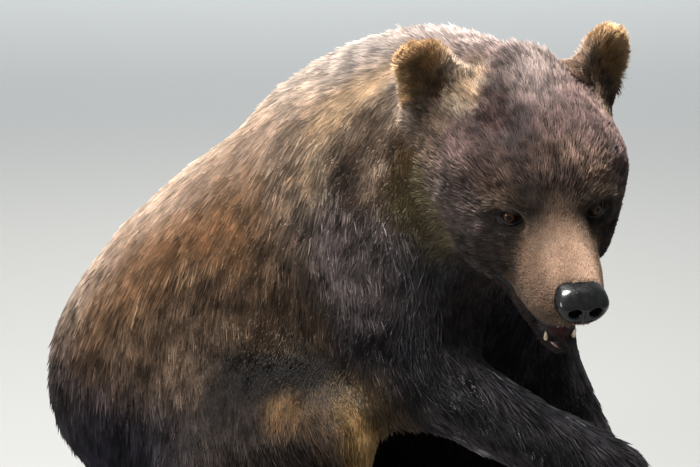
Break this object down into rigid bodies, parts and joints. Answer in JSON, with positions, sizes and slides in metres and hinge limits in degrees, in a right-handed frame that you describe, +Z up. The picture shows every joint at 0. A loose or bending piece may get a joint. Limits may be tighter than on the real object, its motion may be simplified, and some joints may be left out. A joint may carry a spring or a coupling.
{
  "type": "grizzly bear",
  "caption": "Life-size grizzly bear crouched on its haunches, forelegs reaching ahead, head low and turned to one side with the mouth a little open.",
  "frame": {"origin": "middle of the bear's outline on the floor", "axes": "+X the way the trunk faces, +Y the bear's left, +Z up"},
  "size_m": [1.3541, 0.8008, 0.8746],
  "materials": {
    "coat": "shaggy brown fur",
    "claw": "smooth dark horn",
    "tooth": "polished ivory tooth",
    "eye": "wet amber-brown eyeball",
    "nose": "moist pebbled black skin",
    "tongue": "moist skin"
  },
  "bodies": {
    "root": {"canine_lower_left": "tooth", "canine_lower_right": "tooth", "canine_upper_left": "tooth", "canine_upper_right": "tooth", "ear_left": "coat", "ear_right": "coat", "eye_left": "eye", "eye_right": "eye", "forearm_left": "coat", "forearm_right": "coat", "foreclaw_left_1": "claw", "foreclaw_left_2": "claw", "foreclaw_left_3": "claw", "foreclaw_left_4": "claw", "foreclaw_left_5": "claw", "foreclaw_right_1": "claw", "foreclaw_right_2": "claw", "foreclaw_right_3": "claw", "foreclaw_right_4": "claw", "foreclaw_right_5": "claw", "forepaw_left": "coat", "forepaw_right": "coat", "head": "coat", "hind_foot_left": "coat", "hind_foot_right": "coat", "hindclaw_left_1": "claw", "hindclaw_left_2": "claw", "hindclaw_left_3": "claw", "hindclaw_left_4": "claw", "hindclaw_left_5": "claw", "hindclaw_right_1": "claw", "hindclaw_right_2": "claw", "hindclaw_right_3": "claw", "hindclaw_right_4": "claw", "hindclaw_right_5": "claw", "jaw": "coat", "neck": "coat", "nose": "nose", "shank_left": "coat", "shank_right": "coat", "tail": "coat", "thigh_left": "coat", "thigh_right": "coat", "tongue": "tongue", "trunk": "coat", "upper_arm_left": "coat", "upper_arm_right": "coat"}
  },
  "joints": []
}
